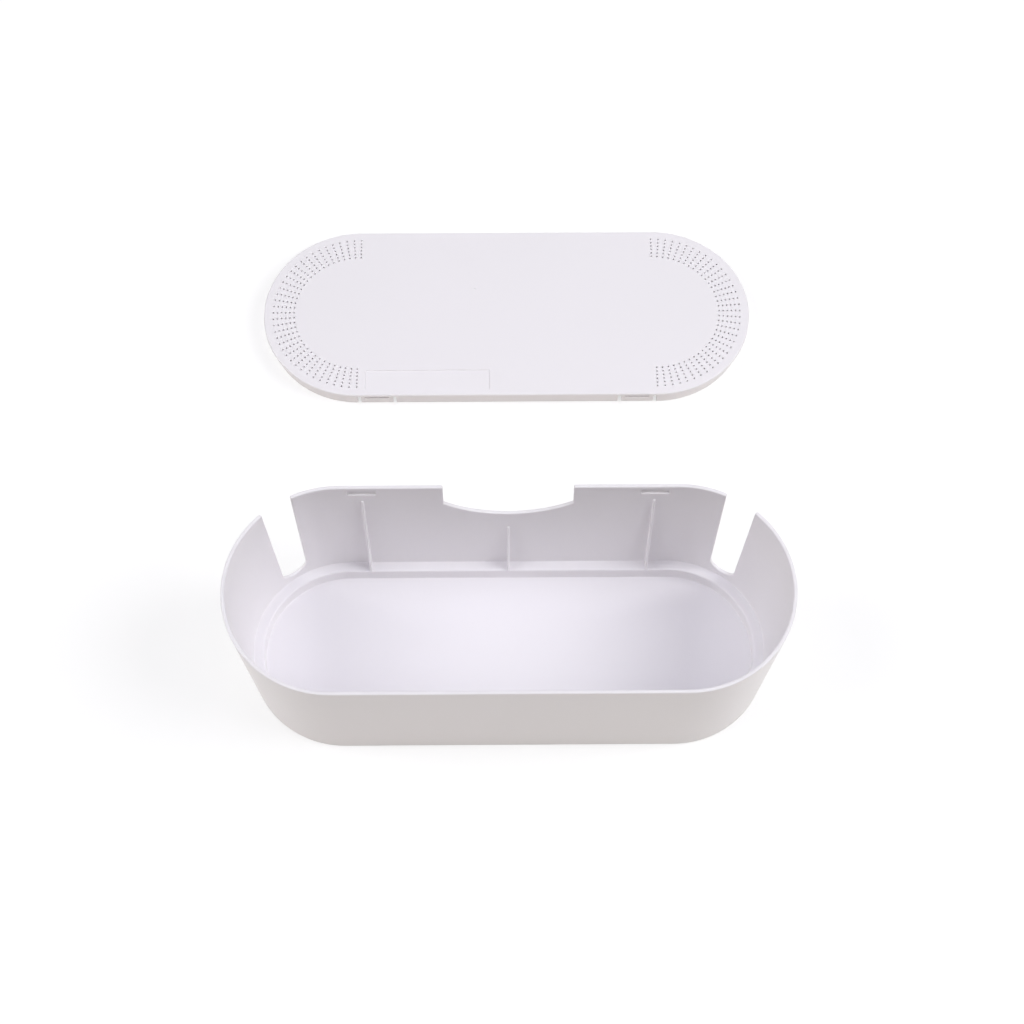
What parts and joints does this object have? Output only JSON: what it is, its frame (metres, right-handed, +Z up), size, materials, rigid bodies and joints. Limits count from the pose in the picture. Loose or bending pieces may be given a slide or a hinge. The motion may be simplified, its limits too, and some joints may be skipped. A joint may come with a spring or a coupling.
{
  "type": "cable management box",
  "caption": "Long white plastic box with round ends and cable outlets, and its vented snap-in lid lying behind it.",
  "frame": {"origin": "middle of the underside of the box, on the surface that its feet stand on", "axes": "+X along the length of the box, +Y to its rear, where the rear cable outlet is, +Z up"},
  "size_m": [0.415, 0.468, 0.135],
  "materials": {
    "white_abs": "fine satin moulded ABS",
    "foot_rubber": "matte rubber"
  },
  "bodies": {
    "box": {"base_shell": "white_abs", "foot_front_left": "foot_rubber", "foot_front_right": "foot_rubber", "foot_rear_left": "foot_rubber", "foot_rear_right": "foot_rubber"},
    "lid": {"lid": "white_abs"},
    "tongue_front_left": {"latch_front_left": "white_abs"},
    "tongue_front_right": {"latch_front_right": "white_abs"},
    "tongue_rear_left": {"latch_rear_left": "white_abs"},
    "tongue_rear_right": {"latch_rear_right": "white_abs"}
  },
  "joints": [
    {"name": "lid_carry", "type": "slide", "parent": "box", "child": "lid", "axis": [0, -0.6787, 0.7344], "range_m": [0, 0.44937]},
    {"name": "flex_front_left", "type": "hinge", "parent": "lid", "child": "tongue_front_left", "pos_m": [-0.109, 0.2285, 0.0149], "axis": [1, 0, 0], "range_deg": [0, 9], "stiffness_Nm_per_rad": 0.05},
    {"name": "flex_front_right", "type": "hinge", "parent": "lid", "child": "tongue_front_right", "pos_m": [0.109, 0.2285, 0.0149], "axis": [1, 0, 0], "range_deg": [0, 9], "stiffness_Nm_per_rad": 0.05},
    {"name": "flex_rear_left", "type": "hinge", "parent": "lid", "child": "tongue_rear_left", "pos_m": [-0.109, 0.3815, 0.0149], "axis": [-1, 0, 0], "range_deg": [0, 9], "stiffness_Nm_per_rad": 0.05},
    {"name": "flex_rear_right", "type": "hinge", "parent": "lid", "child": "tongue_rear_right", "pos_m": [0.109, 0.3815, 0.0149], "axis": [-1, 0, 0], "range_deg": [0, 9], "stiffness_Nm_per_rad": 0.05}
  ]
}
